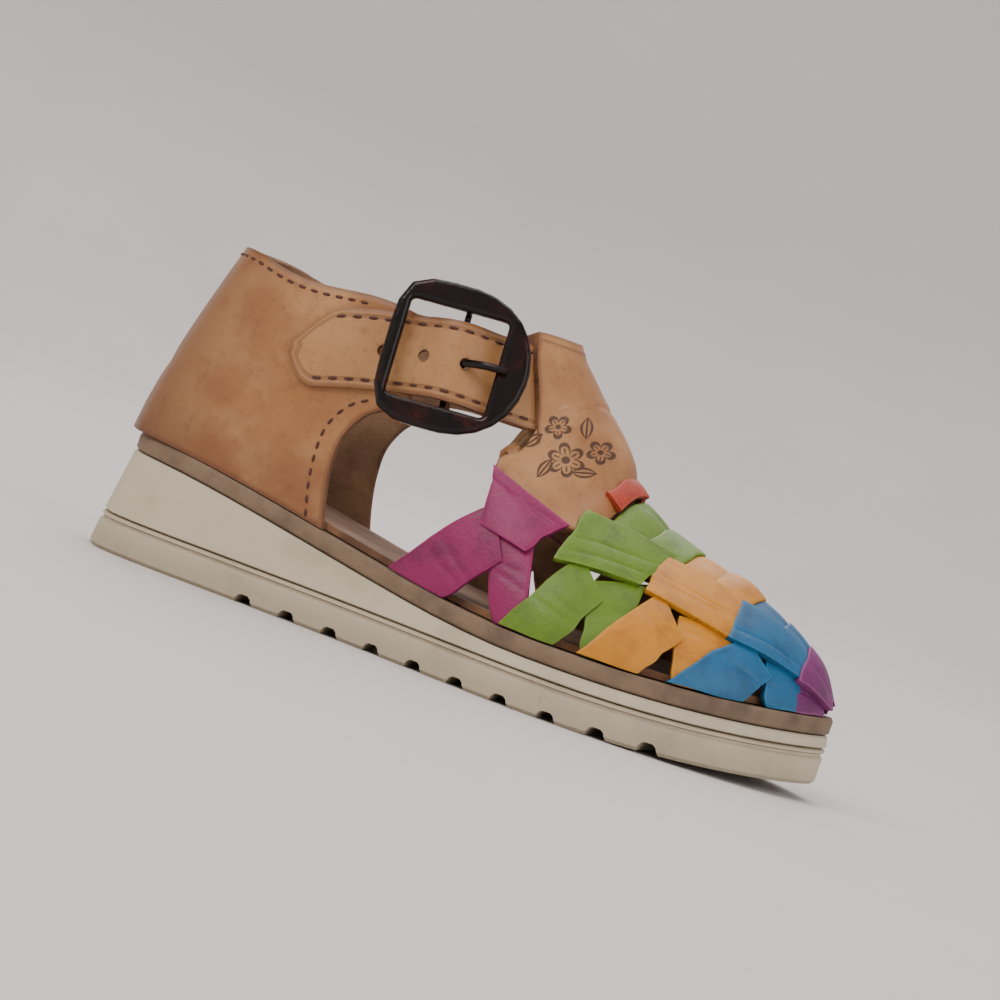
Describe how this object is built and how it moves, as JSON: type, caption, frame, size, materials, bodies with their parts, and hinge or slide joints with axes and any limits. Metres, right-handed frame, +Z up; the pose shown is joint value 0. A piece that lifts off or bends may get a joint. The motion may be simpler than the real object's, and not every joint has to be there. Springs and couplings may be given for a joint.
{
  "type": "huarache sandal",
  "caption": "Child-size sandal with a closed leather heel, buckled ankle strap, T-strap and woven leather strips over the toes, on a wedge foam sole.",
  "frame": {"origin": "centre of the bounding box in plan, on the ground plane under the sole", "axes": "+X from heel to toe, +Y to the wearer's left (the medial side of this right shoe), +Z up"},
  "size_m": [0.1706, 0.0719, 0.0814],
  "materials": {
    "outsole": "matt cream foam rubber with a grey-beige tread",
    "foam_wedge": "matt cream foam",
    "welt": "olive-brown matt edge",
    "insole": "light brown suede",
    "upper": "smooth tan leather, with dyed woven strips",
    "buckle": "glossy dark brown-black"
  },
  "bodies": {
    "root": {"outsole": "outsole", "foam_wedge": "foam_wedge", "welt": "welt", "insole": "insole", "upper": "upper", "buckle_frame": "buckle", "buckle_prong": "buckle"}
  },
  "joints": []
}
